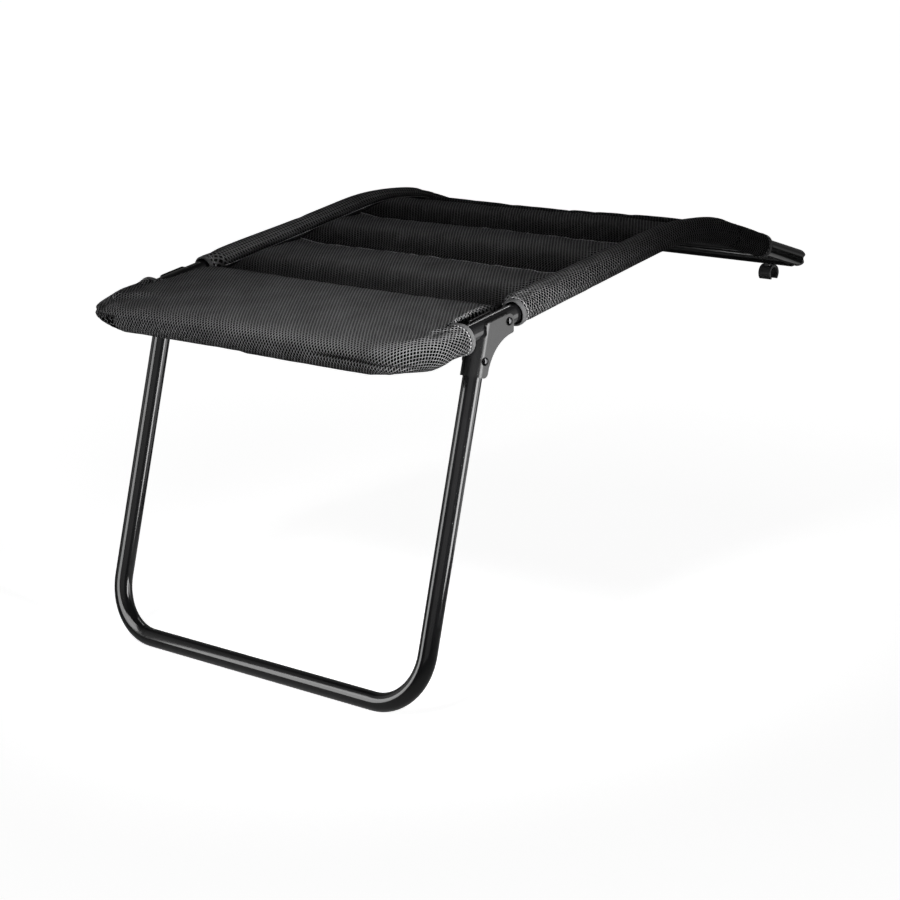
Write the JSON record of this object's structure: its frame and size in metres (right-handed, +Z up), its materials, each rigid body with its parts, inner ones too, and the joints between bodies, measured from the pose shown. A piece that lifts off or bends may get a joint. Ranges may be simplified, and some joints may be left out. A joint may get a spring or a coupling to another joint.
{
  "type": "folding clip-on leg rest",
  "caption": "Bent tube leg rest with a quilted mesh panel and padded front, a folding U leg and snap clips for a camping chair.",
  "frame": {"origin": "middle of the footprint, on the ground under the leg's foot", "axes": "+Z up, +Y from the foot end towards the chair, X across between the rails"},
  "size_m": [0.4804, 0.7262, 0.463],
  "materials": {
    "gloss_powder_coat": "gloss black powder coat on steel tube",
    "satin_powder_coat": "satin dark grey coat on pressed steel",
    "moulded_plastic": "matte moulded plastic",
    "black_rivet": "blackened steel with a polished dome",
    "dark_zinc": "dark plated screw",
    "nylon": "dark nylon",
    "spacer_mesh": "black knitted spacer mesh, with filling behind it"
  },
  "bodies": {
    "frame": {"frame_tube": "gloss_powder_coat", "chair_end_cross_bar": "gloss_powder_coat", "left_rail_end_cap": "moulded_plastic", "right_rail_end_cap": "moulded_plastic", "left_chair_clip": "moulded_plastic", "right_chair_clip": "moulded_plastic", "left_clip_screw": "dark_zinc", "right_clip_screw": "dark_zinc", "quilted_panel": "spacer_mesh", "foot_pillow": "spacer_mesh", "left_rail_sleeve": "spacer_mesh", "right_rail_sleeve": "spacer_mesh", "left_pivot_rivet": "black_rivet", "right_pivot_rivet": "black_rivet", "left_outer_pivot_washer": "nylon", "left_inner_pivot_washer": "nylon", "right_outer_pivot_washer": "nylon", "right_inner_pivot_washer": "nylon"},
    "leg": {"leg_tube": "gloss_powder_coat", "left_leg_bracket": "satin_powder_coat", "right_leg_bracket": "satin_powder_coat", "left_leg_rivet": "black_rivet", "right_leg_rivet": "black_rivet"}
  },
  "joints": [
    {"name": "leg_fold", "type": "hinge", "parent": "frame", "child": "leg", "pos_m": [0, -0.20681, 0.39517], "axis": [1, 0, 0], "range_deg": [0, 110]}
  ]
}
